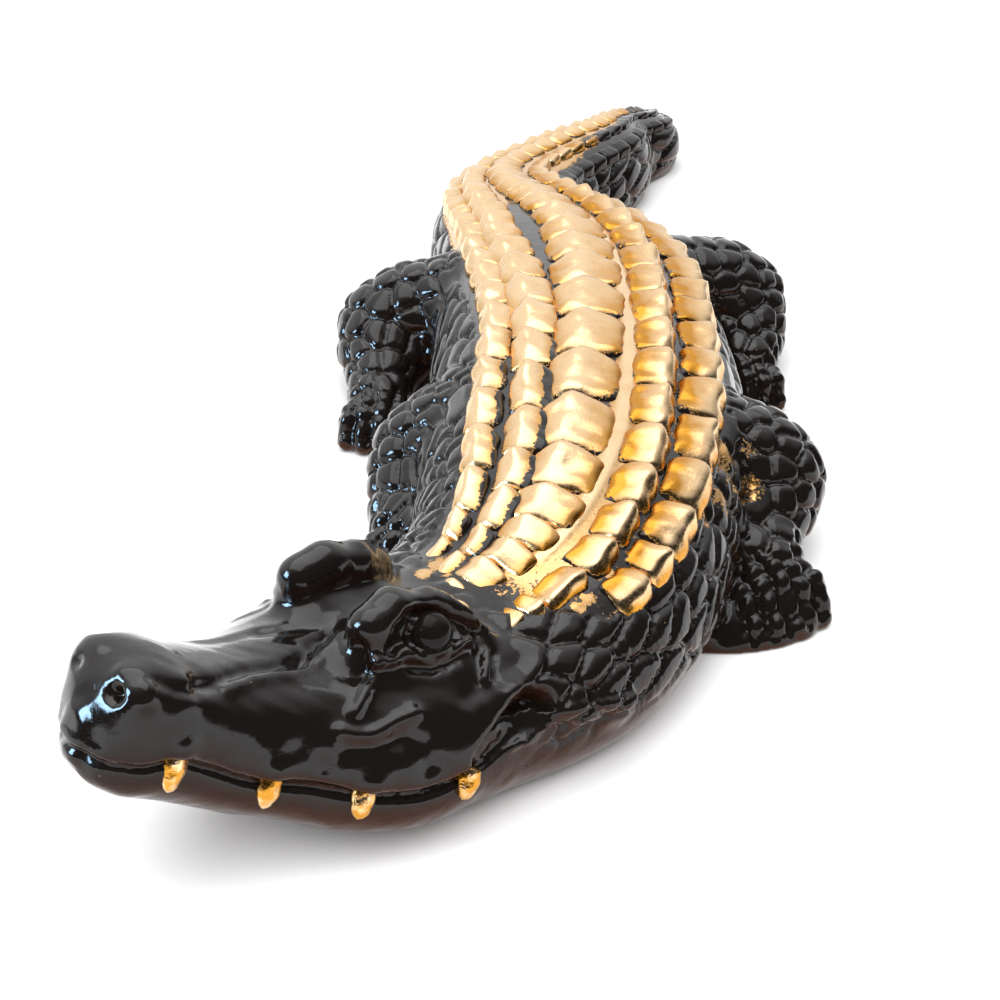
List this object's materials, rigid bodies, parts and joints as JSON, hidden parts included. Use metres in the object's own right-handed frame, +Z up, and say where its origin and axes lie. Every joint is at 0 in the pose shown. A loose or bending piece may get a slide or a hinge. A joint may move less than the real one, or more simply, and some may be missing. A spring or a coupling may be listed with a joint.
{
  "type": "crocodile sculpture",
  "caption": "Lying crocodile sculpture with its head turned, gloss black with gold leaf on the scutes and teeth, standing flat on its underside.",
  "frame": {"origin": "centre of the footprint, on the surface that the sculpture stands on", "axes": "+Z up; +Y from the head towards the tail, along the trunk; +X towards the animal's left"},
  "size_m": [0.1562, 0.4122, 0.0519],
  "materials": {
    "lacquered_plaster": "deep gloss black lacquer on cast plaster, with worn gold leaf on the back scutes and the teeth"
  },
  "bodies": {
    "root": {"crocodile": "lacquered_plaster"}
  },
  "joints": []
}
